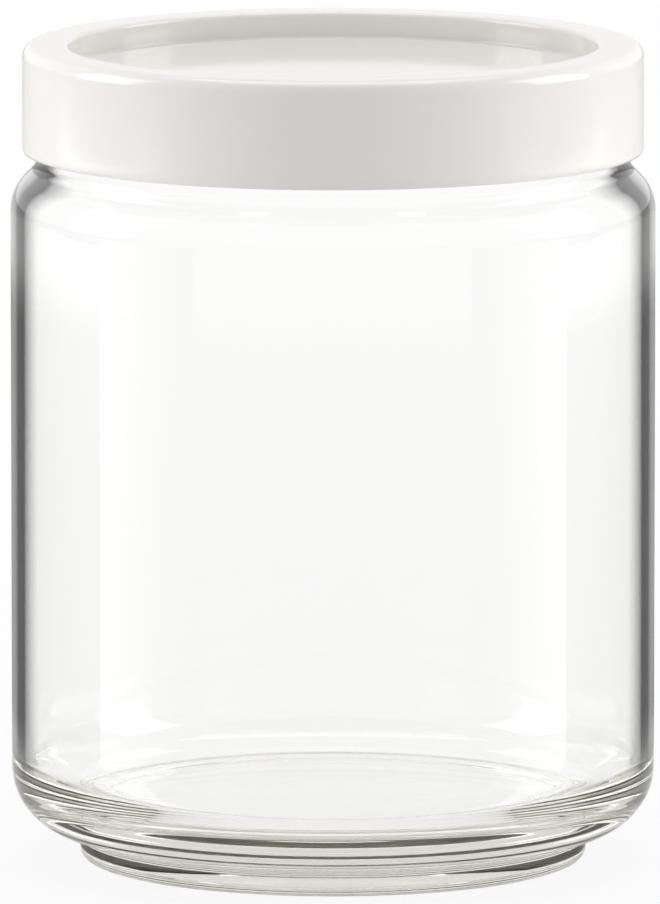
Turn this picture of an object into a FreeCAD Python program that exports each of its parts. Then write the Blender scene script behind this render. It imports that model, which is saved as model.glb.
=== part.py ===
# Stackable glass storage canister with a push-on plastic lid and a finned seal ring.
# Millimetres, +Z up. The origin is the centre of the plane that the foot stands on,
# and every piece is centred on the Z axis.
import FreeCAD, Part
import math
import os

# Glass jar
BODY_DIAMETER = 128.0
BODY_WALL = 3.2
BASE_THICKNESS = 8.8
FLOOR_ROUND = 8.0
HEEL_RISE = 3.0
HEEL_ROUND = 13.0
FOOT_HEIGHT = 5.1
FOOT_EDGE_ROUND = 2.0
FOOT_ROOT_ROUND = 1.5
BEARING_WIDTH = 4.4
BEARING_INNER_ROUND = 1.0
BASE_HOLLOW = 1.4
HOLLOW_SLOPE = 0.9
HOLLOW_ROUND = 1.2
SHOULDER_HEIGHT = 138.8
SHOULDER_DROP = 5.0
SHOULDER_ROUND = 9.0
NECK_INSET = 5.0
NECK_WALL = 2.6
NECK_HEIGHT = 16.85
NECK_ROOT_ROUND = 3.0
MOUTH_ROOT_ROUND = 5.0
RIM_ROUND = 1.2

# Lid
SKIRT_WALL = 2.0
SKIRT_CLEARANCE = 0.65
SKIRT_GAP = 2.9
SKIRT_EDGE_ROUND = 0.7
RIM_TOP_WALL = 2.2
RIM_OUTER_ROUND = 2.4
RIM_INNER_ROUND = 0.9
RECESS_DEPTH = 5.2
RECESS_CORNER_ROUND = 0.6
LID_FLOOR_WALL = 2.0
PLUG_WALL = 1.8
PLUG_CLEARANCE = 2.1
PLUG_LIP = 1.5
PLUG_EDGE_ROUND = 0.6
CHANNEL_ROUND = 0.8
SEAT_CLEARANCE = 0.15
SEAT_RIB_HEIGHT = 5.0
SEAT_RIB_WIDTH = 1.4
SEAT_RIB_COUNT = 24
STACKING_PLAY = 2.1

# Seal ring
SEAL_DROP = 3.6
SEAL_SEAT_DEPTH = 0.8
SEAL_FIT = 0.05
SEAL_GLASS_CLEARANCE = 0.1
FIN_COUNT = 3
FIN_PITCH = 2.0
FIN_ROOT = 1.1
FIN_TIP = 0.5
FIN_LIFT = 0.6
FIN_TIP_ROUND = 0.2

# Radii that follow from the sizes above
body_radius = BODY_DIAMETER / 2
inner_radius = body_radius - BODY_WALL
neck_radius = body_radius - NECK_INSET
mouth_radius = neck_radius - NECK_WALL
skirt_inner_radius = neck_radius + SKIRT_CLEARANCE
lid_radius = skirt_inner_radius + SKIRT_WALL
plug_radius = mouth_radius - PLUG_CLEARANCE
recess_radius = plug_radius - PLUG_WALL
seal_seat_radius = plug_radius - SEAL_SEAT_DEPTH
seal_inner_radius = seal_seat_radius + SEAL_FIT
fin_tip_radius = mouth_radius - SEAL_GLASS_CLEARANCE
foot_radius = recess_radius - STACKING_PLAY
bearing_inner_radius = foot_radius - BEARING_WIDTH
hollow_radius = bearing_inner_radius - HOLLOW_SLOPE

# The inside of the shoulder runs parallel to the outside, one body wall away
shoulder_slope = SHOULDER_DROP / NECK_INSET
shoulder_wall_drop = BODY_WALL * math.hypot(1, shoulder_slope) - NECK_WALL * shoulder_slope
shoulder_inner_round = SHOULDER_ROUND - BODY_WALL

# Heights that follow from the sizes above
floor_height = FOOT_HEIGHT + BASE_THICKNESS
heel_height = FOOT_HEIGHT + HEEL_RISE
shoulder_edge_height = SHOULDER_HEIGHT - SHOULDER_DROP
mouth_root_height = SHOULDER_HEIGHT - shoulder_wall_drop
inner_shoulder_height = mouth_root_height - shoulder_slope * (inner_radius - mouth_radius)
glass_rim_height = SHOULDER_HEIGHT + NECK_HEIGHT
skirt_bottom = SHOULDER_HEIGHT + SKIRT_GAP
seat_height = glass_rim_height + SEAT_CLEARANCE
channel_top = seat_height + SEAT_RIB_HEIGHT
lid_top = channel_top + RIM_TOP_WALL
recess_floor = lid_top - RECESS_DEPTH
lid_underside = recess_floor - LID_FLOOR_WALL
seal_top = glass_rim_height - SEAL_DROP
seal_bottom = seal_top - FIN_COUNT * FIN_PITCH
seal_seat_top = seal_top + SEAL_FIT
seal_seat_bottom = seal_bottom - SEAL_FIT
plug_bottom = seal_seat_bottom - PLUG_LIP


def fitted_setbacks(points, roundings):
    """Distance from each corner to the start of its arc, shortened where two arcs crowd an edge."""
    count = len(points)
    setbacks = []
    for i in range(count):
        back = points[i - 1] - points[i]
        ahead = points[(i + 1) % count] - points[i]
        setbacks.append(roundings[i] / math.tan(back.getAngle(ahead) / 2))
    shares = [1.0] * count
    for i in range(count):
        following = (i + 1) % count
        needed = setbacks[i] + setbacks[following]
        length = (points[following] - points[i]).Length
        if needed > length:
            shares[i] = min(shares[i], length / needed)
            shares[following] = min(shares[following], length / needed)
    return [setback * share for setback, share in zip(setbacks, shares)]


def corner_arc(corner, before, after, setback):
    """Arc tangent to both edges of a corner, from one setback point to the other."""
    back = (before - corner).normalize()
    ahead = (after - corner).normalize()
    half_angle = back.getAngle(ahead) / 2
    radius = setback * math.tan(half_angle)
    inward = (back + ahead).normalize()
    middle = corner + inward * (radius / math.sin(half_angle) - radius)
    return Part.Arc(corner + back * setback, middle, corner + ahead * setback)


def revolved(corners):
    """Solid of revolution from a closed outline of corners, each (radius, height, rounding)."""
    points = [FreeCAD.Vector(radius, 0, height) for radius, height, _ in corners]
    setbacks = fitted_setbacks(points, [rounding for _, _, rounding in corners])
    count = len(points)
    edges = []
    for i in range(count):
        before, corner, after = points[i - 1], points[i], points[(i + 1) % count]
        if setbacks[i] > 0:
            edges.append(corner_arc(corner, before, after, setbacks[i]).toShape())
        ahead = (after - corner).normalize()
        start = corner + ahead * setbacks[i]
        end = after - ahead * setbacks[(i + 1) % count]
        if (end - start).Length > Part.Precision.confusion():
            edges.append(Part.LineSegment(start, end).toShape())
    face = Part.Face(Part.Wire(edges))
    return face.revolve(FreeCAD.Vector(0, 0, 0), FreeCAD.Vector(0, 0, 1), 360)


def make_glass_jar():
    """Heavy-based jar with a stacking foot, a rounded heel and shoulder, and an inset neck."""
    outside = [
        (0, BASE_HOLLOW, 0),
        (hollow_radius, BASE_HOLLOW, HOLLOW_ROUND),
        (bearing_inner_radius, 0, BEARING_INNER_ROUND),
        (foot_radius, 0, FOOT_EDGE_ROUND),
        (foot_radius, FOOT_HEIGHT, FOOT_ROOT_ROUND),
        (body_radius, heel_height, HEEL_ROUND),
        (body_radius, shoulder_edge_height, SHOULDER_ROUND),
        (neck_radius, SHOULDER_HEIGHT, NECK_ROOT_ROUND),
        (neck_radius, glass_rim_height, RIM_ROUND),
    ]
    inside = [
        (mouth_radius, glass_rim_height, RIM_ROUND),
        (mouth_radius, mouth_root_height, MOUTH_ROOT_ROUND),
        (inner_radius, inner_shoulder_height, shoulder_inner_round),
        (inner_radius, floor_height, FLOOR_ROUND),
        (0, floor_height, 0),
    ]
    return revolved(outside + inside)


def seat_ribs():
    """Webs across the lid's channel. Their lower edges sit on the rim of the glass."""
    root = min(PLUG_WALL, SKIRT_WALL, RIM_TOP_WALL) / 2
    length = skirt_inner_radius - plug_radius + 2 * root
    ribs = []
    for index in range(SEAT_RIB_COUNT):
        rib = Part.makeBox(length, SEAT_RIB_WIDTH, SEAT_RIB_HEIGHT + root)
        rib.translate(FreeCAD.Vector(plug_radius - root, -SEAT_RIB_WIDTH / 2, seat_height))
        turn = index * 360.0 / SEAT_RIB_COUNT
        rib.rotate(FreeCAD.Vector(0, 0, 0), FreeCAD.Vector(0, 0, 1), turn)
        ribs.append(rib)
    return ribs


def make_lid_shell():
    """One moulding: skirt, raised rim, sunken top that takes another jar's foot, and the plug."""
    top_and_skirt = [
        (0, recess_floor, 0),
        (recess_radius, recess_floor, RECESS_CORNER_ROUND),
        (recess_radius, lid_top, RIM_INNER_ROUND),
        (lid_radius, lid_top, RIM_OUTER_ROUND),
        (lid_radius, skirt_bottom, SKIRT_EDGE_ROUND),
        (skirt_inner_radius, skirt_bottom, SKIRT_EDGE_ROUND),
        (skirt_inner_radius, channel_top, CHANNEL_ROUND),
    ]
    plug = [
        (plug_radius, channel_top, CHANNEL_ROUND),
        (plug_radius, seal_seat_top, 0),
        (seal_seat_radius, seal_seat_top, 0),
        (seal_seat_radius, seal_seat_bottom, 0),
        (plug_radius, seal_seat_bottom, 0),
        (plug_radius, plug_bottom, PLUG_EDGE_ROUND),
        (recess_radius, plug_bottom, PLUG_EDGE_ROUND),
        (recess_radius, lid_underside, RECESS_CORNER_ROUND),
        (0, lid_underside, 0),
    ]
    return revolved(top_and_skirt + plug).multiFuse(seat_ribs()).removeSplitter()


def make_seal_ring():
    """Flat band in the plug's groove, with fins that slope up towards the mouth of the glass."""
    corners = [
        (seal_inner_radius, seal_top, 0),
        (seal_inner_radius, seal_bottom, 0),
        (plug_radius, seal_bottom, 0),
    ]
    for index in range(FIN_COUNT):
        root_bottom = seal_bottom + index * FIN_PITCH + (FIN_PITCH - FIN_ROOT) / 2
        tip_bottom = root_bottom + FIN_LIFT
        corners += [
            (plug_radius, root_bottom, 0),
            (fin_tip_radius, tip_bottom, FIN_TIP_ROUND),
            (fin_tip_radius, tip_bottom + FIN_TIP, FIN_TIP_ROUND),
            (plug_radius, root_bottom + FIN_ROOT, 0),
        ]
    corners.append((plug_radius, seal_top, 0))
    return revolved(corners)


def main():
    os.makedirs("parts", exist_ok=True)
    pieces = {
        "glass_jar": make_glass_jar(),
        "lid_shell": make_lid_shell(),
        "seal_ring": make_seal_ring(),
    }
    for name, shape in pieces.items():
        shape.exportStep(os.path.join("parts", name + ".step"))
        print(f"{name}: {len(shape.Solids)} solid, valid {shape.isValid()}, {shape.Volume / 1000:.2f} cm3")


main()
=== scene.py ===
"""Glass storage canister with a push-on plastic lid and a finned seal ring, dressed for its photograph.

Metres, +Z up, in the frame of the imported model. The origin is the centre of the plane that the
foot stands on, and every piece is turned about the Z axis.
"""
import logging
import math
from abc import ABC, abstractmethod
from collections.abc import Callable, Mapping, Sequence
from dataclasses import dataclass, replace
from enum import Enum
from typing import ClassVar

import bpy
import numpy as np
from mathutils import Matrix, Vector


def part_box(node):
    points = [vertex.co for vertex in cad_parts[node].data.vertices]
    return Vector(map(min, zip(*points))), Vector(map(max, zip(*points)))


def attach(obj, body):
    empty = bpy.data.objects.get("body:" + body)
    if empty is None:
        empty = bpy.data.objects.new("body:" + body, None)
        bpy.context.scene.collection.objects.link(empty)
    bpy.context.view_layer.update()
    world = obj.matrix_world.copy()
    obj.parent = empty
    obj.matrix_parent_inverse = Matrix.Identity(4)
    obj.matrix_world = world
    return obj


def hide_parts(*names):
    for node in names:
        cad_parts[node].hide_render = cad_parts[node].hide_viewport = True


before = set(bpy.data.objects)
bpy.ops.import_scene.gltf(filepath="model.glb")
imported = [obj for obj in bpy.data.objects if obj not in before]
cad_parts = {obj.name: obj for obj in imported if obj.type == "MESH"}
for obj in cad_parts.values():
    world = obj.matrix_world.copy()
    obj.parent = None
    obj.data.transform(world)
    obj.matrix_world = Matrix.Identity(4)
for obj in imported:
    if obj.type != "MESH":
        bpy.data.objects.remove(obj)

Pair = tuple[float, float]
Triple = tuple[float, float, float]
Colour = tuple[float, float, float, float]
Socket = bpy.types.NodeSocket

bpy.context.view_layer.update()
MM = 0.001
WHITE: Colour = (1.0, 1.0, 1.0, 1.0)
BLACK: Colour = (0.0, 0.0, 0.0, 1.0)
NOISE_LOW = 0.3
NOISE_HIGH = 0.7
# vertex mask for the painted edge shade on the glass
PAINTED_SHADE_MASK = "painted_shade_mask"
CARD_LIGHT = "card_light"

log = logging.getLogger("canister")


class Body(Enum):
    """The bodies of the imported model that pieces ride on."""

    JAR = "jar"
    SEAL = "seal"
    LID = "lid"


class Slot(Enum):
    """The record's material slots."""

    GLASS = "clear_glass"
    PLASTIC = "white_plastic"
    SEAL = "soft_seal"


class Sight(Enum):
    """Kinds of ray that see a thing, besides those that only carry light."""

    CAMERA = "Is Camera Ray"
    GLOSSY = "Is Glossy Ray"
    TRANSMISSION = "Is Transmission Ray"


@dataclass(frozen=True)
class Corner:
    """A corner of a turned outline: its radius from the axis, its height and its rounding."""

    radius: float
    height: float
    rounding: float = 0.0


@dataclass(frozen=True)
class Division:
    """How finely a piece is turned: angle along arcs, length along runs and steps round the axis."""

    arc_step: float
    run_step: float
    sectors: int = 288


@dataclass(frozen=True)
class Wave:
    """A sine wave round the axis: its crests, its lean with height, its starting phase and its share."""

    crests: int
    lean: float
    start: float
    share: float


def unit(vector: np.ndarray) -> np.ndarray:
    """The vector divided by its own length."""
    return vector / np.linalg.norm(vector)


def corner_arc(
    before: np.ndarray, corner: np.ndarray, after: np.ndarray, rounding: float, step: float
) -> np.ndarray:
    """Points of the arc that rounds a corner and touches both of its edges.

    The centre lies on the bisector, rounding / sin(half the corner's angle) away from the corner,
    and the arc turns from one edge's normal to the other's in equal angles.

    Args:
        before: The corner before this one, as (radius, height).
        corner: This corner.
        after: The corner after it.
        rounding: Radius of the arc. At 0 the corner stays sharp.
        step: Largest angle between two points, in radians.

    Returns:
        An array of (radius, height) rows.
    """
    if rounding <= 0.0:
        return corner[None, :]
    back = unit(before - corner)
    ahead = unit(after - corner)
    half_angle = math.acos(float(np.clip(back @ ahead, -1.0, 1.0))) / 2
    centre = corner + unit(back + ahead) * (rounding / math.sin(half_angle))
    start = corner + back * (rounding / math.tan(half_angle)) - centre
    turn_sign = math.copysign(1.0, ahead[0] * back[1] - ahead[1] * back[0])
    sweep = turn_sign * (math.pi - 2 * half_angle)
    count = max(3, math.ceil(abs(sweep) / step) + 1)
    angles = math.atan2(start[1], start[0]) + np.linspace(0.0, sweep, count)
    return centre + rounding * np.column_stack((np.cos(angles), np.sin(angles)))


def straight_run(start: np.ndarray, end: np.ndarray, step: float) -> np.ndarray:
    """Evenly spaced points between two ends, without the ends.

    Args:
        start: The first end, as (radius, height).
        end: The second end.
        step: Largest distance between two points.

    Returns:
        An array of (radius, height) rows, which has no rows where the ends are close together.
    """
    count = math.ceil(float(np.linalg.norm(end - start)) / step)
    shares = np.arange(1, count)[:, None] / max(count, 1)
    return start + shares * (end - start)


def rounded_outline(corners: Sequence[Corner], closed: bool, division: Division) -> np.ndarray:
    """An outline through rounded corners, with its straight runs divided.

    Args:
        corners: Corners in order, with the material on the left of the way along them.
        closed: True for a ring's section, False for an outline that starts and ends on the axis.
        division: How finely the outline is divided.

    Returns:
        An array of (radius, height) rows.
    """
    places = np.array([(corner.radius, corner.height) for corner in corners])
    count = len(corners)
    arcs = []
    for index, corner in enumerate(corners):
        at_end = not closed and index in (0, count - 1)
        rounding = 0.0 if at_end else corner.rounding
        after = places[(index + 1) % count]
        arcs.append(corner_arc(places[index - 1], places[index], after, rounding, division.arc_step))
    stretches = []
    for index, arc in enumerate(arcs):
        stretches.append(arc)
        if closed or index < count - 1:
            stretches.append(straight_run(arc[-1], arcs[(index + 1) % count][0], division.run_step))
    return np.concatenate(stretches)


def new_piece(name: str, places: np.ndarray, faces: Sequence[np.ndarray]) -> bpy.types.Object:
    """A smooth-shaded mesh object at the origin.

    Args:
        name: Name of the object and of its mesh.
        places: Vertex positions, one row each.
        faces: Arrays of vertex numbers, one row per face, each array with its own face size.

    Returns:
        The object, linked into the scene.
    """
    mesh = bpy.data.meshes.new(name)
    mesh.from_pydata(places, [], [row for block in faces for row in block.tolist()])
    mesh.polygons.foreach_set("use_smooth", np.ones(len(mesh.polygons), dtype=bool))
    mesh.update()
    piece = bpy.data.objects.new(name, mesh)
    bpy.context.scene.collection.objects.link(piece)
    return piece


def turned_piece(
    name: str,
    outline: np.ndarray,
    sectors: int,
    closed: bool,
    shift: Callable[[np.ndarray, np.ndarray], np.ndarray] | None = None,
) -> bpy.types.Object:
    """A surface of revolution: each outline point (r, z) goes to (r cos t, r sin t, z).

    Args:
        name: Name of the object.
        outline: Rows of (radius, height), with the material on the left of the way along them.
        sectors: Number of steps round the axis.
        closed: True for a ring's section. Otherwise the first and last rows are poles on the axis.
        shift: Radius to add at each (turn, outline point), from the column of turns and the outline.

    Returns:
        The closed mesh object.
    """
    turns = np.arange(sectors)[:, None] * (2 * math.pi / sectors)
    ring = outline if closed else outline[1:-1]
    radius = np.broadcast_to(ring[:, 0], (sectors, len(ring)))
    if shift is not None:
        radius = radius + shift(turns, ring)
    height = np.broadcast_to(ring[:, 1], radius.shape)
    places = np.stack((radius * np.cos(turns), radius * np.sin(turns), height), axis=-1).reshape(-1, 3)
    numbers = np.arange(radius.size).reshape(radius.shape)
    ahead = np.roll(numbers, -1, axis=0)
    if closed:
        here, there = numbers, ahead
        up_here, up_there = np.roll(numbers, -1, axis=1), np.roll(ahead, -1, axis=1)
    else:
        here, there = numbers[:, :-1], ahead[:, :-1]
        up_here, up_there = numbers[:, 1:], ahead[:, 1:]
    faces = [np.stack((here, there, up_there, up_here), axis=-1).reshape(-1, 4)]
    if not closed:
        first_pole, last_pole = len(places), len(places) + 1
        poles = [(0.0, 0.0, outline[0, 1]), (0.0, 0.0, outline[-1, 1])]
        places = np.concatenate((places, poles))
        faces.append(np.column_stack((np.full(sectors, first_pole), ahead[:, 0], numbers[:, 0])))
        faces.append(np.column_stack((numbers[:, -1], ahead[:, -1], np.full(sectors, last_pole))))
    return new_piece(name, places, faces)


@dataclass(frozen=True)
class Mottle:
    """Noise on a piece's own coordinates: cells per metre along X, Y and Z, and its finer layers."""

    cells: Triple
    detail: float


class NodeBoard:
    """The node tree of a material or of the surround, with short ways to add and join its nodes."""

    def __init__(self, owner: bpy.types.Material | bpy.types.World, output: str) -> None:
        """Starts a tree with nothing but its output.

        Args:
            owner: The material or world.
            output: Blender's name for the kind of output node.
        """
        owner.use_nodes = True
        self.tree = owner.node_tree
        self.tree.nodes.clear()
        self.output = self.add(output)

    def add(self, kind: str, **settings: object) -> bpy.types.Node:
        """Adds a node.

        Args:
            kind: Blender's name for the kind of node.
            **settings: Properties of the node to set.

        Returns:
            The node.
        """
        node = self.tree.nodes.new(kind)
        for key, value in settings.items():
            setattr(node, key, value)
        return node

    def join(self, source: Socket, target: Socket) -> None:
        """Links an output to an input."""
        self.tree.links.new(source, target)

    def surface(self, constants: Mapping[str, float | Triple]) -> bpy.types.Node:
        """Adds the shader of a surface and joins it to the output.

        Args:
            constants: What is the same all over the surface, by the name of its socket.

        Returns:
            The shader.
        """
        shader = self.add("ShaderNodeBsdfPrincipled")
        for name, value in constants.items():
            shader.inputs[name].default_value = value
        self.join(shader.outputs["BSDF"], self.output.inputs["Surface"])
        return shader

    def noise(self, mottle: Mottle) -> Socket:
        """Adds noise on the piece's own coordinates.

        Args:
            mottle: Size and detail of the noise.

        Returns:
            The noise's value, about 0.5 on average.
        """
        place = self.add("ShaderNodeTexCoord")
        mapping = self.add("ShaderNodeMapping")
        mapping.inputs["Scale"].default_value = mottle.cells
        texture = self.add("ShaderNodeTexNoise")
        texture.inputs["Scale"].default_value = 1.0
        texture.inputs["Detail"].default_value = mottle.detail
        self.join(place.outputs["Object"], mapping.inputs["Vector"])
        self.join(mapping.outputs["Vector"], texture.inputs["Vector"])
        return texture.outputs["Fac"]

    def spread(self, source: Socket, limits: Pair, results: Pair) -> Socket:
        """Spreads a value smoothly over a range.

        Args:
            source: The value.
            limits: Two values of the source.
            results: The result at the first limit and before, and at the second and beyond.

        Returns:
            The spread value.
        """
        node = self.add("ShaderNodeMapRange", interpolation_type="SMOOTHSTEP")
        node.inputs["From Min"].default_value = limits[0]
        node.inputs["From Max"].default_value = limits[1]
        node.inputs["To Min"].default_value = results[0]
        node.inputs["To Max"].default_value = results[1]
        self.join(source, node.inputs["Value"])
        return node.outputs["Result"]

    def vary(self, noise: Socket, results: Pair) -> Socket:
        """Spreads noise over a range, most of which its usual values fill."""
        return self.spread(noise, (NOISE_LOW, NOISE_HIGH), results)

    def blend(self, share: Socket, first: Colour, second: Colour) -> Socket:
        """Adds a colour between two.

        Args:
            share: 0 for the first colour, 1 for the second.
            first: The colour at 0.
            second: The colour at 1.

        Returns:
            The mixed colour.
        """
        node = self.add("ShaderNodeMix", data_type="RGBA")
        node.inputs["A"].default_value = first
        node.inputs["B"].default_value = second
        self.join(share, node.inputs["Factor"])
        return node.outputs["Result"]

    def bump(self, height: Socket, depth: float) -> Socket:
        """Adds surface relief.

        Args:
            height: Height from 0 to 1.
            depth: Real depth of the relief at 1, in metres.

        Returns:
            The bent normal.
        """
        node = self.add("ShaderNodeBump")
        node.inputs["Distance"].default_value = depth
        self.join(height, node.inputs["Height"])
        return node.outputs["Normal"]

    def calculate(self, operation: str, first: Socket, second: Socket) -> Socket:
        """Works out a value from two.

        Args:
            operation: Blender's name for the operation.
            first: The first value.
            second: The second value.

        Returns:
            The result, kept between 0 and 1.
        """
        node = self.add("ShaderNodeMath", operation=operation, use_clamp=True)
        self.join(first, node.inputs[0])
        self.join(second, node.inputs[1])
        return node.outputs[0]

    def turn_into(self, share: Socket, first: Socket, second: Socket) -> Socket:
        """Mixes two shaders.

        Args:
            share: 0 for the first shader, 1 for the second.
            first: The shader at 0.
            second: The shader at 1.

        Returns:
            The mixed shader.
        """
        node = self.add("ShaderNodeMixShader")
        self.join(share, node.inputs["Fac"])
        self.join(first, node.inputs[1])
        self.join(second, node.inputs[2])
        return node.outputs["Shader"]


class Finish(ABC):
    """The look of one kind of stuff."""

    @abstractmethod
    def material(self) -> bpy.types.Material:
        """The finish as a node material."""


@dataclass(frozen=True)
class ClearGlass(Finish):
    """Pressed soda-lime glass, clear across one wall, with painted shade along its edges."""

    refraction: float = 1.517
    absorbed: Colour = (0.705, 0.692, 0.605, 1.0)
    absorption: float = 9.0
    haze: float = 0.012
    ripple: Mottle = Mottle(cells=(28.0, 28.0, 9.0), detail=1.0)
    ripple_depth: float = 0.05 * MM
    # painted shade along the outer edges: lean of the measured normal, then the bands of brightness
    edge_lift: float = 0.3
    painted_shade_bands: tuple[Pair, ...] = (
        (0.58, 1.0),
        (0.645, 0.35),
        (0.69, 0.008),
        (0.77, 0.008),
        (0.85, 0.3),
        (1.0, 0.9),
    )

    def painted_edge_shade(self, nodes: NodeBoard) -> Socket:
        """Paints shade on the outer face where it turns edge-on, by darkening its base colour.

        The normal that is measured leans upwards by the edge lift, which keeps the painted dark band
        narrow in views from above. The bands are pairs of how far the face is turned away and how
        bright the painted shade leaves the colour there.

        Args:
            nodes: The tree of the finish.

        Returns:
            White, with a painted dark band on the outer face between facing and edge-on.
        """
        face = nodes.add("ShaderNodeNewGeometry")
        lifted = nodes.add("ShaderNodeVectorMath", operation="ADD")
        lifted.inputs[1].default_value = (0.0, 0.0, self.edge_lift)
        nodes.join(face.outputs["Normal"], lifted.inputs[0])
        leaning = nodes.add("ShaderNodeVectorMath", operation="NORMALIZE")
        nodes.join(lifted.outputs["Vector"], leaning.inputs[0])
        slant = nodes.add("ShaderNodeLayerWeight")
        nodes.join(leaning.outputs["Vector"], slant.inputs["Normal"])
        ramp = nodes.add("ShaderNodeValToRGB")
        bands = ramp.color_ramp.elements
        ready = len(bands)
        for index, (position, light) in enumerate(self.painted_shade_bands):
            band = bands[index] if index < ready else bands.new(position)
            band.position = position
            band.color = (light, light, light, 1.0)
        nodes.join(slant.outputs["Facing"], ramp.inputs["Fac"])
        outer = nodes.add("ShaderNodeAttribute", attribute_name=PAINTED_SHADE_MASK)
        shade_mix = nodes.add("ShaderNodeMix", data_type="RGBA")
        shade_mix.inputs["A"].default_value = WHITE
        nodes.join(outer.outputs["Fac"], shade_mix.inputs["Factor"])
        nodes.join(ramp.outputs["Color"], shade_mix.inputs["B"])
        return shade_mix.outputs["Result"]

    def material(self) -> bpy.types.Material:
        """Glass with slow ripples from the mould, a trace of haze and absorption in its depth.

        Returns:
            The material.
        """
        material = bpy.data.materials.new("clear_glass")
        nodes = NodeBoard(material, "ShaderNodeOutputMaterial")
        shader = nodes.surface({"Transmission Weight": 1.0, "IOR": self.refraction})
        # painted shade: the dark edge band goes into the glass's base colour
        nodes.join(self.painted_edge_shade(nodes), shader.inputs["Base Color"])
        slow = nodes.noise(self.ripple)
        nodes.join(nodes.vary(slow, (0.0, self.haze)), shader.inputs["Roughness"])
        nodes.join(nodes.bump(slow, self.ripple_depth), shader.inputs["Normal"])
        depth = nodes.add("ShaderNodeVolumeAbsorption")
        depth.inputs["Color"].default_value = self.absorbed
        depth.inputs["Density"].default_value = self.absorption
        nodes.join(depth.outputs["Volume"], nodes.output.inputs["Volume"])
        return material


@dataclass(frozen=True)
class MouldedFinish(Finish):
    """Stuff from a mould, whose colour and gloss vary slowly and in which light spreads a little."""

    name: str
    colour: Colour
    shade: Colour
    roughness: Pair
    refraction: float
    light_spread: float
    spread_radius: Triple
    spread_scale: float
    cloud: Mottle
    grain: Mottle
    grain_depth: float

    def material(self) -> bpy.types.Material:
        """One noise for colour and gloss, and a fine grain that breaks up the highlights.

        Returns:
            The material.
        """
        material = bpy.data.materials.new(self.name)
        nodes = NodeBoard(material, "ShaderNodeOutputMaterial")
        constants = {
            "IOR": self.refraction,
            "Subsurface Weight": self.light_spread,
            "Subsurface Radius": self.spread_radius,
            "Subsurface Scale": self.spread_scale,
        }
        shader = nodes.surface(constants)
        cloud = nodes.noise(self.cloud)
        colour = nodes.blend(nodes.vary(cloud, (0.0, 1.0)), self.colour, self.shade)
        nodes.join(colour, shader.inputs["Base Color"])
        nodes.join(nodes.vary(cloud, self.roughness), shader.inputs["Roughness"])
        grain = nodes.noise(self.grain)
        nodes.join(nodes.bump(grain, self.grain_depth), shader.inputs["Normal"])
        return material


WHITE_PLASTIC = MouldedFinish(
    name="white_plastic",
    colour=(0.868, 0.846, 0.82, 1.0),
    shade=(0.853, 0.83, 0.803, 1.0),
    roughness=(0.06, 0.1),
    refraction=1.49,
    light_spread=0.1,
    spread_radius=(1.0, 0.8, 0.7),
    spread_scale=1.5 * MM,
    cloud=Mottle(cells=(22.0, 22.0, 22.0), detail=3.0),
    grain=Mottle(cells=(2200.0, 2200.0, 2200.0), detail=2.0),
    grain_depth=0.004 * MM,
)

SOFT_SILICONE = MouldedFinish(
    name="soft_silicone",
    colour=(0.80, 0.82, 0.81, 1.0),
    shade=(0.72, 0.745, 0.735, 1.0),
    roughness=(0.42, 0.58),
    refraction=1.41,
    light_spread=0.4,
    spread_radius=(1.0, 0.95, 0.9),
    spread_scale=2.0 * MM,
    cloud=Mottle(cells=(60.0, 60.0, 160.0), detail=2.0),
    grain=Mottle(cells=(1500.0, 1500.0, 1500.0), detail=2.0),
    grain_depth=0.01 * MM,
)


class SubAssembly(ABC):
    """Pieces that move as one body and share one finish."""

    body: ClassVar[Body]
    slot: ClassVar[Slot]
    finish: ClassVar[Finish]

    @abstractmethod
    def build(self) -> list[bpy.types.Object]:
        """Makes the meshes."""

    def dress(self, pieces: Sequence[bpy.types.Object]) -> None:
        """Gives the pieces their finish and fastens them to their body.

        Args:
            pieces: The meshes of the sub-assembly.
        """
        material = self.finish.material()
        for piece in pieces:
            piece.data.materials.append(material)
            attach(piece, self.body.value)


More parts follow.
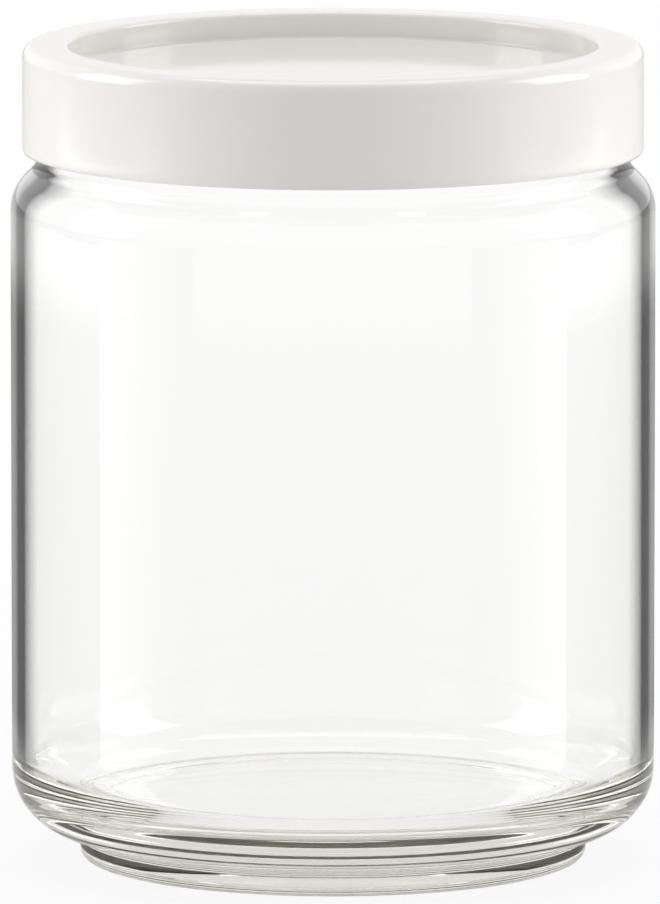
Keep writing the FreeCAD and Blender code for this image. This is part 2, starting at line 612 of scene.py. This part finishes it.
@dataclass
class GlassJar(SubAssembly):
    """Heavy-based jar with a stacking foot, a rounded heel and shoulder, and an inset neck."""

    body: ClassVar[Body] = Body.JAR
    slot: ClassVar[Slot] = Slot.GLASS
    finish: ClassVar[Finish] = ClearGlass()

    body_radius: float
    rim_height: float
    body_wall: float = 3.2 * MM
    neck_inset: float = 5.0 * MM
    neck_wall: float = 2.6 * MM
    neck_height: float = 16.85 * MM
    foot_radius: float = 50.4 * MM
    foot_height: float = 5.1 * MM
    bearing_width: float = 4.4 * MM
    base_hollow: float = 1.4 * MM
    hollow_slope: float = 0.9 * MM
    base_thickness: float = 8.8 * MM
    heel_rise: float = 3.0 * MM
    shoulder_drop: float = 5.0 * MM
    floor_round: float = 8.0 * MM
    heel_round: float = 13.0 * MM
    shoulder_round: float = 9.0 * MM
    foot_edge_round: float = 2.0 * MM
    foot_root_round: float = 1.5 * MM
    bearing_inner_round: float = 1.0 * MM
    hollow_round: float = 1.2 * MM
    neck_root_round: float = 3.0 * MM
    mouth_root_round: float = 5.0 * MM
    rim_round: float = 1.2 * MM
    ripple: float = 0.06 * MM
    ripple_waves: tuple[Wave, ...] = (
        Wave(crests=3, lean=2.1, start=0.0, share=1.0),
        Wave(crests=5, lean=-3.7, start=1.0, share=0.6),
        Wave(crests=8, lean=5.3, start=2.0, share=0.4),
    )
    ripple_from: float = 0.15
    ripple_to: float = 0.85
    wall_tolerance: float = 0.1 * MM
    # where the painted edge shade starts up the heel and where it is full
    painted_shade_start: float = 8.0 * MM
    painted_shade_full: float = 22.0 * MM
    division: Division = Division(arc_step=math.radians(5.0), run_step=3.0 * MM)

    @property
    def inner_radius(self) -> float:
        """Radius of the inside of the plain wall."""
        return self.body_radius - self.body_wall

    def outline(self) -> list[Corner]:
        """The jar's outline, with the inside of the shoulder one body wall away from the outside.

        Returns:
            Corners from the middle of the underside, up the outside, over the rim and down to the
            middle of the inner floor.
        """
        inner = self.inner_radius
        neck = self.body_radius - self.neck_inset
        mouth = neck - self.neck_wall
        bearing = self.foot_radius - self.bearing_width
        shoulder = self.rim_height - self.neck_height
        slope = self.shoulder_drop / self.neck_inset
        mouth_root = shoulder - self.body_wall * math.hypot(1.0, slope) + self.neck_wall * slope
        inner_shoulder = mouth_root - slope * (inner - mouth)
        floor = self.foot_height + self.base_thickness
        return [
            Corner(0.0, self.base_hollow),
            Corner(bearing - self.hollow_slope, self.base_hollow, self.hollow_round),
            Corner(bearing, 0.0, self.bearing_inner_round),
            Corner(self.foot_radius, 0.0, self.foot_edge_round),
            Corner(self.foot_radius, self.foot_height, self.foot_root_round),
            Corner(self.body_radius, self.foot_height + self.heel_rise, self.heel_round),
            Corner(self.body_radius, shoulder - self.shoulder_drop, self.shoulder_round),
            Corner(neck, shoulder, self.neck_root_round),
            Corner(neck, self.rim_height, self.rim_round),
            Corner(mouth, self.rim_height, self.rim_round),
            Corner(mouth, mouth_root, self.mouth_root_round),
            Corner(inner, inner_shoulder, self.shoulder_round - self.body_wall),
            Corner(inner, floor, self.floor_round),
            Corner(0.0, floor),
        ]

    def wall_ripple(self, turns: np.ndarray, ring: np.ndarray) -> np.ndarray:
        """Slow waves of the inner wall, where the glass met air and not the mould.

        The radius changes by a sum of sine waves round the axis that lean with height, times a
        window along the straight inner wall. The window is a squared sine of the height, 0 at both
        ends of its span and 1 in the middle.

        Args:
            turns: Column of angles round the axis.
            ring: Rows of (radius, height).

        Returns:
            Radius to add, one row per angle.
        """
        height = ring[:, 1] / self.rim_height
        inside = np.abs(ring[:, 0] - self.inner_radius) < self.wall_tolerance
        span = np.clip((height - self.ripple_from) / (self.ripple_to - self.ripple_from), 0.0, 1.0)
        window = inside * np.sin(math.pi * span) ** 2
        waves = sum(
            wave.share * np.sin(wave.crests * turns + wave.lean * height + wave.start)
            for wave in self.ripple_waves
        )
        return self.ripple * waves * window

    def mark_painted_shade(self, jar: bpy.types.Object, outline: np.ndarray) -> None:
        """Stores on each vertex how much painted edge shade the outer wall takes there.

        The mark is 0 inside the rim and on the foot, and rises evenly from 0 to 1 up the heel.

        Args:
            jar: The turned jar. Its vertices run along the outline in each sector, then the poles.
            outline: Rows of (radius, height), from the underside over the rim to the inner floor.
        """
        outside = np.arange(len(outline)) <= np.argmax(outline[:, 1])
        rise = (outline[:, 1] - self.painted_shade_start) / (self.painted_shade_full - self.painted_shade_start)
        marks = outside * np.clip(rise, 0.0, 1.0)
        marks = np.concatenate((np.tile(marks[1:-1], self.division.sectors), marks[[0, -1]]))
        attribute = jar.data.attributes.new(PAINTED_SHADE_MASK, "FLOAT", "POINT")
        attribute.data.foreach_set("value", marks.astype(np.float32))

    def build(self) -> list[bpy.types.Object]:
        """Turns the jar and marks where its outer face takes painted edge shade.

        Returns:
            The jar.
        """
        outline = rounded_outline(self.outline(), False, self.division)
        jar = turned_piece("jar_glass", outline, self.division.sectors, False, self.wall_ripple)
        self.mark_painted_shade(jar, outline)
        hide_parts("glass_jar")
        return [jar]


@dataclass
class PressLid(SubAssembly):
    """One moulding: skirt, raised rim, sunken top, plug with the seal's groove, and seat ribs."""

    body: ClassVar[Body] = Body.LID
    slot: ClassVar[Slot] = Slot.PLASTIC
    finish: ClassVar[Finish] = WHITE_PLASTIC

    lid_radius: float
    skirt_bottom: float
    lid_top: float
    skirt_wall: float = 2.0 * MM
    channel_width: float = 5.35 * MM
    rim_top_wall: float = 2.2 * MM
    recess_depth: float = 5.2 * MM
    floor_wall: float = 2.0 * MM
    plug_wall: float = 1.8 * MM
    plug_bottom: float = 144.5 * MM
    groove_depth: float = 0.8 * MM
    groove_bottom: float = 146.0 * MM
    groove_top: float = 152.1 * MM
    skirt_edge_round: float = 0.7 * MM
    rim_outer_round: float = 2.4 * MM
    rim_inner_round: float = 0.9 * MM
    recess_round: float = 0.6 * MM
    channel_round: float = 0.8 * MM
    plug_round: float = 0.6 * MM
    groove_round: float = 0.12 * MM
    gate_radius: float = 1.6 * MM
    gate_drop: float = 0.35 * MM
    gate_round: float = 0.15 * MM
    rib_count: int = 24
    rib_width: float = 1.4 * MM
    rib_height: float = 5.0 * MM
    rib_round: float = 0.4 * MM
    rib_round_points: int = 5
    rib_root: float = 0.5 * MM
    division: Division = Division(arc_step=math.radians(8.0), run_step=2.5 * MM)

    @property
    def skirt_inner(self) -> float:
        """Radius of the skirt's inner face."""
        return self.lid_radius - self.skirt_wall

    @property
    def plug_radius(self) -> float:
        """Radius of the plug's outer face."""
        return self.skirt_inner - self.channel_width

    @property
    def channel_top(self) -> float:
        """Height of the channel's closed end."""
        return self.lid_top - self.rim_top_wall

    def outline(self) -> list[Corner]:
        """The moulding's outline.

        Returns:
            Corners from the gate mark under the lid, round the plug and the skirt, to the middle
            of the top.
        """
        recess = self.plug_radius - self.plug_wall
        groove = self.plug_radius - self.groove_depth
        top_face = self.lid_top - self.recess_depth
        underside = top_face - self.floor_wall
        return [
            Corner(0.0, underside - self.gate_drop),
            Corner(self.gate_radius, underside - self.gate_drop, self.gate_round),
            Corner(self.gate_radius, underside, self.gate_round),
            Corner(recess, underside, self.recess_round),
            Corner(recess, self.plug_bottom, self.plug_round),
            Corner(self.plug_radius, self.plug_bottom, self.plug_round),
            Corner(self.plug_radius, self.groove_bottom, self.groove_round),
            Corner(groove, self.groove_bottom, self.groove_round),
            Corner(groove, self.groove_top, self.groove_round),
            Corner(self.plug_radius, self.groove_top, self.groove_round),
            Corner(self.plug_radius, self.channel_top, self.channel_round),
            Corner(self.skirt_inner, self.channel_top, self.channel_round),
            Corner(self.skirt_inner, self.skirt_bottom, self.skirt_edge_round),
            Corner(self.lid_radius, self.skirt_bottom, self.skirt_edge_round),
            Corner(self.lid_radius, self.lid_top, self.rim_outer_round),
            Corner(recess, self.lid_top, self.rim_inner_round),
            Corner(recess, top_face, self.recess_round),
            Corner(0.0, top_face),
        ]

    def build_moulding(self) -> bpy.types.Object:
        """Turns the lid's moulding.

        Returns:
            The moulding without its ribs.
        """
        outline = rounded_outline(self.outline(), False, self.division)
        moulding = turned_piece("lid_moulding", outline, self.division.sectors, False)
        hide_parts("lid_shell")
        return moulding

    def build_ribs(self) -> bpy.types.Object:
        """Webs across the channel, whose rounded lower edges sit on the rim of the glass.

        One section, a bar with two rounded lower corners, is carried along the radius from wall to
        wall, and the whole rib is turned about the axis by equal angles.

        Returns:
            All ribs as one object.
        """
        half = self.rib_width / 2
        low = self.channel_top - self.rib_height
        high = self.channel_top + self.rib_root
        quarter = np.linspace(0.0, math.pi / 2, self.rib_round_points)
        corner_x = half - self.rib_round * (1 - np.sin(quarter))
        corner_z = low + self.rib_round * (1 - np.cos(quarter))
        across = np.concatenate((corner_x, [half, -half], -corner_x[::-1]))
        upward = np.concatenate((corner_z, [high, high], corner_z[::-1]))
        along = np.array([self.plug_radius - self.rib_root, self.skirt_inner + self.rib_root])
        turns = (np.arange(self.rib_count) * (2 * math.pi / self.rib_count))[:, None, None]
        radial = along[None, :, None]
        sideways = across[None, None, :]
        x = radial * np.cos(turns) - sideways * np.sin(turns)
        y = radial * np.sin(turns) + sideways * np.cos(turns)
        z = np.broadcast_to(upward, x.shape)
        places = np.stack((x, y, z), axis=-1).reshape(-1, 3)
        numbers = np.arange(x.size).reshape(x.shape)
        near, far = numbers[:, 0], numbers[:, 1]
        next_near, next_far = np.roll(near, -1, axis=1), np.roll(far, -1, axis=1)
        sides = np.stack((near, far, next_far, next_near), axis=-1).reshape(-1, 4)
        return new_piece("lid_seat_ribs", places, [sides, near, far[:, ::-1]])

    def build(self) -> list[bpy.types.Object]:
        """The moulding and its ribs."""
        return [self.build_moulding(), self.build_ribs()]


@dataclass
class SealRing(SubAssembly):
    """Soft band in the plug's groove, with fins that slope up towards the mouth of the glass."""

    body: ClassVar[Body] = Body.SEAL
    slot: ClassVar[Slot] = Slot.SEAL
    finish: ClassVar[Finish] = SOFT_SILICONE

    bottom: float
    top: float
    tip_radius: float
    inner_radius: float = 53.55 * MM
    band_radius: float = 54.3 * MM
    fin_count: int = 3
    fin_root: float = 1.1 * MM
    fin_tip: float = 0.5 * MM
    fin_lift: float = 0.6 * MM
    tip_round: float = 0.2 * MM
    root_round: float = 0.1 * MM
    division: Division = Division(arc_step=math.radians(18.0), run_step=1.0 * MM)

    def outline(self) -> list[Corner]:
        """The ring's section.

        Returns:
            Corners from the band's inner lower corner, out along the fins and back.
        """
        pitch = (self.top - self.bottom) / self.fin_count
        corners = [
            Corner(self.inner_radius, self.bottom, self.root_round),
            Corner(self.band_radius, self.bottom, self.root_round),
        ]
        for index in range(self.fin_count):
            root = self.bottom + index * pitch + (pitch - self.fin_root) / 2
            tip = root + self.fin_lift
            corners += [
                Corner(self.band_radius, root, self.root_round),
                Corner(self.tip_radius, tip, self.tip_round),
                Corner(self.tip_radius, tip + self.fin_tip, self.tip_round),
                Corner(self.band_radius, root + self.fin_root, self.root_round),
            ]
        corners.append(Corner(self.band_radius, self.top, self.root_round))
        corners.append(Corner(self.inner_radius, self.top, self.root_round))
        return corners

    def build(self) -> list[bpy.types.Object]:
        """Turns the ring.

        Returns:
            The ring.
        """
        outline = rounded_outline(self.outline(), True, self.division)
        ring = turned_piece("seal_fins", outline, self.division.sectors, True)
        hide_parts("seal_ring")
        return [ring]


@dataclass(frozen=True)
class PaperFloor:
    """Pale floor that shows as white paper to the eye and still takes the shadow.

    Shares and radii come in pairs: the share inside the first radius and outside the second.
    """

    colour: Colour = (0.86, 0.86, 0.855, 1.0)
    glow: float = 1.0
    glow_shares: Pair = (0.9, 1.0)
    glow_radii: Pair = (0.2, 0.8)
    dim_shares: Pair = (0.0, 0.74)
    dim_radii: Pair = (0.12, 0.22)
    dim_end_shares: Pair = (1.0, 0.0)
    dim_end_radii: Pair = (0.8, 0.95)
    half_width: float = 12.0
    drop: float = 0.05 * MM

    def by_distance(self, nodes: NodeBoard, radii: Pair, shares: Pair) -> Socket:
        """A share that changes smoothly with the distance from the axis.

        Args:
            nodes: The tree of the floor.
            radii: Where the change starts and ends.
            shares: The share before and after the change.

        Returns:
            The share.
        """
        place = nodes.add("ShaderNodeTexCoord")
        distance = nodes.add("ShaderNodeVectorMath", operation="LENGTH")
        nodes.join(place.outputs["Object"], distance.inputs[0])
        return nodes.spread(distance.outputs["Value"], radii, shares)

    def glow_share(self, nodes: NodeBoard) -> Socket:
        """How much of the floor's look is plain white, which is all of it away from the object.

        Args:
            nodes: The tree of the floor.

        Returns:
            The share for rays that see the floor as a background, and 0 for the others.
        """
        sights = nodes.add("ShaderNodeLightPath").outputs
        seen = nodes.calculate("MAXIMUM", sights[Sight.CAMERA.value], sights[Sight.TRANSMISSION.value])
        share = self.by_distance(nodes, self.glow_radii, self.glow_shares)
        return nodes.calculate("MULTIPLY", seen, share)

    def painted_reflection_share(self, nodes: NodeBoard) -> Socket:
        """How much of a wide ring of the floor is painted black for reflected rays, a painted dark
        reflection.

        Args:
            nodes: The tree of the floor.

        Returns:
            The share for rays that a surface has thrown back, and 0 for the others.
        """
        sights = nodes.add("ShaderNodeLightPath").outputs
        glossy, through = sights[Sight.GLOSSY.value], sights[Sight.TRANSMISSION.value]
        thrown_back = nodes.calculate("SUBTRACT", glossy, through)
        start = self.by_distance(nodes, self.dim_radii, self.dim_shares)
        end = self.by_distance(nodes, self.dim_end_radii, self.dim_end_shares)
        return nodes.calculate("MULTIPLY", thrown_back, nodes.calculate("MULTIPLY", start, end))

    def material(self) -> bpy.types.Material:
        """Lit paper that is plain white to rays that see it as a background, with a painted dark
        reflection in a wide ring, and clear from beneath.

        Returns:
            The material.
        """
        material = bpy.data.materials.new("paper_floor")
        nodes = NodeBoard(material, "ShaderNodeOutputMaterial")
        paper = nodes.add("ShaderNodeBsdfDiffuse")
        paper.inputs["Color"].default_value = self.colour
        dark = nodes.add("ShaderNodeBsdfDiffuse")
        dark.inputs["Color"].default_value = BLACK
        white = nodes.add("ShaderNodeEmission")
        white.inputs["Strength"].default_value = self.glow
        clear = nodes.add("ShaderNodeBsdfTransparent")
        side = nodes.add("ShaderNodeNewGeometry")
        # painted dark reflection: reflected rays see black paper in a ring round the object
        look = nodes.turn_into(self.painted_reflection_share(nodes), paper.outputs["BSDF"], dark.outputs["BSDF"])
        look = nodes.turn_into(self.glow_share(nodes), look, white.outputs["Emission"])
        look = nodes.turn_into(side.outputs["Backfacing"], look, clear.outputs["BSDF"])
        nodes.join(look, nodes.output.inputs["Surface"])
        return material

    def build(self) -> None:
        """Lays a flat sheet just under the foot."""
        ends = np.array([-self.half_width, self.half_width])
        x, y = np.meshgrid(ends, ends)
        places = np.stack((x, y, np.full_like(x, -self.drop)), axis=-1).reshape(-1, 3)
        floor = new_piece("paper_floor", places, [np.array([[0, 1, 3, 2]])])
        floor.data.materials.append(self.material())


@dataclass(frozen=True)
class SoftBox:
    """A large soft lamp that faces the object.

    It lights matt surfaces if lights is set, and gloss and glass show it if shows is set.
    """

    name: str
    place: Triple
    aim: Triple
    width: float
    height: float
    watts: float
    lights: bool = True
    shows: bool = True

    def build(self) -> None:
        """Hangs the lamp out of the camera's sight."""
        lamp = bpy.data.lights.new(self.name, "AREA")
        lamp.shape = "RECTANGLE"
        lamp.size = self.width
        lamp.size_y = self.height
        lamp.energy = self.watts
        line = Vector(self.aim) - Vector(self.place)
        holder = bpy.data.objects.new(self.name, lamp)
        holder.location = self.place
        holder.rotation_euler = line.to_track_quat("-Z", "Y").to_euler()
        holder.visible_camera = False
        holder.visible_diffuse = self.lights
        holder.visible_glossy = self.shows
        holder.visible_transmission = self.shows
        bpy.context.scene.collection.objects.link(holder)

    def mirrored(self, name: str) -> "SoftBox":
        """The same lamp on the other side of the object, under another name."""
        return replace(self, name=name, place=(-self.place[0], *self.place[1:]))


@dataclass(frozen=True)
class StripCard:
    """A lit card beside the object that shows only in reflections and fades towards its end."""

    name: str
    start: Pair
    end: Pair
    height: float = 0.115
    start_light: float = 1.6
    end_light: float = 0.2
    columns: int = 13

    def material(self) -> bpy.types.Material:
        """Light as strong as the mark on each vertex.

        Returns:
            The material.
        """
        material = bpy.data.materials.new(self.name)
        nodes = NodeBoard(material, "ShaderNodeOutputMaterial")
        light = nodes.add("ShaderNodeEmission")
        mark = nodes.add("ShaderNodeAttribute", attribute_name=CARD_LIGHT)
        nodes.join(mark.outputs["Fac"], light.inputs["Strength"])
        nodes.join(light.outputs["Emission"], nodes.output.inputs["Surface"])
        return material

    def build(self) -> None:
        """Stands the card on the floor, where only gloss sees it.

        The card runs straight from start to end, and its light falls with the squared cosine of
        the way along it.
        """
        way = np.linspace(0.0, 1.0, self.columns)
        line = np.outer(1 - way, self.start) + np.outer(way, self.end)
        foot = np.column_stack((line, np.zeros_like(way)))
        top = foot + (0.0, 0.0, self.height)
        near = np.arange(self.columns - 1)
        faces = np.column_stack((near, near + 1, near + 1 + self.columns, near + self.columns))
        card = new_piece(self.name, np.concatenate((foot, top)), [faces])
        fade = np.cos(way * math.pi / 2) ** 2
        marks = np.tile(self.end_light + (self.start_light - self.end_light) * fade, 2)
        attribute = card.data.attributes.new(CARD_LIGHT, "FLOAT", "POINT")
        attribute.data.foreach_set("value", marks.astype(np.float32))
        card.data.materials.append(self.material())
        card.visible_camera = False
        card.visible_diffuse = False
        card.visible_transmission = False
        card.visible_shadow = False

    def mirrored(self, name: str) -> "StripCard":
        """The same card on the other side of the object, under another name."""
        (start_x, start_y), (end_x, end_y) = self.start, self.end
        return replace(self, name=name, start=(-start_x, start_y), end=(-end_x, end_y))


@dataclass(frozen=True)
class StudioSet:
    """White paper floor, a pale surround, and soft lamps and cards in mirrored pairs.

    The low lamps give matt light, and the glints and cards show in the gloss of lid and glass.
    """

    surround: float = 0.58
    backdrop: float = 1.0
    light_bounces: int = 32
    top_lamp: SoftBox = SoftBox(
        name="top_lamp", place=(0.0, 0.25, 1.4), aim=(0.0, 0.0, 0.1), width=1.0, height=1.0, watts=7.0
    )
    left_lamp: SoftBox = SoftBox(
        name="left_lamp",
        place=(-1.1, 0.05, 0.135),
        aim=(0.0, 0.0, 0.08),
        width=1.0,
        height=0.25,
        watts=6.0,
        shows=False,
    )
    left_glint: SoftBox = SoftBox(
        name="left_glint",
        place=(-1.1, 0.05, 0.5),
        aim=(0.0, 0.0, 0.08),
        width=0.6,
        height=0.9,
        watts=6.0,
        lights=False,
    )
    left_card: StripCard = StripCard(name="left_card", start=(-0.196, -0.039), end=(-0.142, -0.154))

    def build_world(self) -> None:
        """A surround that lights evenly, and shows as white to the eye, in gloss and through glass."""
        world = bpy.data.worlds.new("studio_surround")
        nodes = NodeBoard(world, "ShaderNodeOutputWorld")
        light = nodes.add("ShaderNodeBackground")
        light.inputs["Color"].default_value = WHITE
        light.inputs["Strength"].default_value = self.surround
        white = nodes.add("ShaderNodeBackground")
        white.inputs["Color"].default_value = WHITE
        white.inputs["Strength"].default_value = self.backdrop
        sights = nodes.add("ShaderNodeLightPath").outputs
        seen = nodes.calculate("MAXIMUM", sights[Sight.CAMERA.value], sights[Sight.GLOSSY.value])
        seen = nodes.calculate("MAXIMUM", seen, sights[Sight.TRANSMISSION.value])
        look = nodes.turn_into(seen, light.outputs["Background"], white.outputs["Background"])
        nodes.join(look, nodes.output.inputs["Surface"])
        bpy.context.scene.world = world

    def build(self) -> None:
        """Sets up floor, surround, lamps and cards, and lets light pass all the walls of the glass."""
        paths = bpy.context.scene.cycles
        paths.max_bounces = self.light_bounces
        paths.transmission_bounces = self.light_bounces
        paths.glossy_bounces = self.light_bounces
        PaperFloor().build()
        self.build_world()
        self.top_lamp.build()
        for left in (self.left_lamp, self.left_glint, self.left_card):
            left.build()
            left.mirrored(left.name.replace("left", "right")).build()
        bpy.context.scene.view_settings.view_transform = "Standard"


@dataclass(frozen=True)
class PhotoCamera:
    """Long lens from a little above, at the photograph's viewing angle."""

    place: Triple = (0.0, -3.2158, 0.5568)
    aim: Triple = (-0.6 * MM, 0.0, 81.2 * MM)
    pixels_per_metre: float = 5027.0
    frame_pixels: tuple[int, int] = (660, 904)
    sensor_mm: float = 36.0

    def build(self) -> None:
        """Sets up the scene's camera, with a lens that gives the photograph's scale at the aim."""
        line = Vector(self.aim) - Vector(self.place)
        camera = bpy.data.cameras.new("photo_camera")
        camera.sensor_width = self.sensor_mm
        camera.lens = self.sensor_mm * self.pixels_per_metre * line.length / max(self.frame_pixels)
        holder = bpy.data.objects.new("photo_camera", camera)
        holder.location = self.place
        holder.rotation_euler = line.to_track_quat("-Z", "Y").to_euler()
        bpy.context.scene.collection.objects.link(holder)
        bpy.context.scene.camera = holder


def main() -> None:
    """Builds the jar, the lid and the seal, then the studio and the camera."""
    logging.basicConfig(level=logging.INFO)
    _, jar_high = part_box("glass_jar")
    lid_low, lid_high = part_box("lid_shell")
    seal_low, seal_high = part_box("seal_ring")
    parts = (
        GlassJar(body_radius=jar_high[0], rim_height=jar_high[2]),
        PressLid(lid_radius=lid_high[0], skirt_bottom=lid_low[2], lid_top=lid_high[2]),
        SealRing(bottom=seal_low[2], top=seal_high[2], tip_radius=seal_high[0]),
    )
    for part in parts:
        pieces = part.build()
        part.dress(pieces)
        for piece in pieces:
            log.info("%s: %d faces, rides on %s", piece.name, len(piece.data.polygons), part.body.value)
    StudioSet().build()
    PhotoCamera().build()


if __name__ == "__main__":
    main()
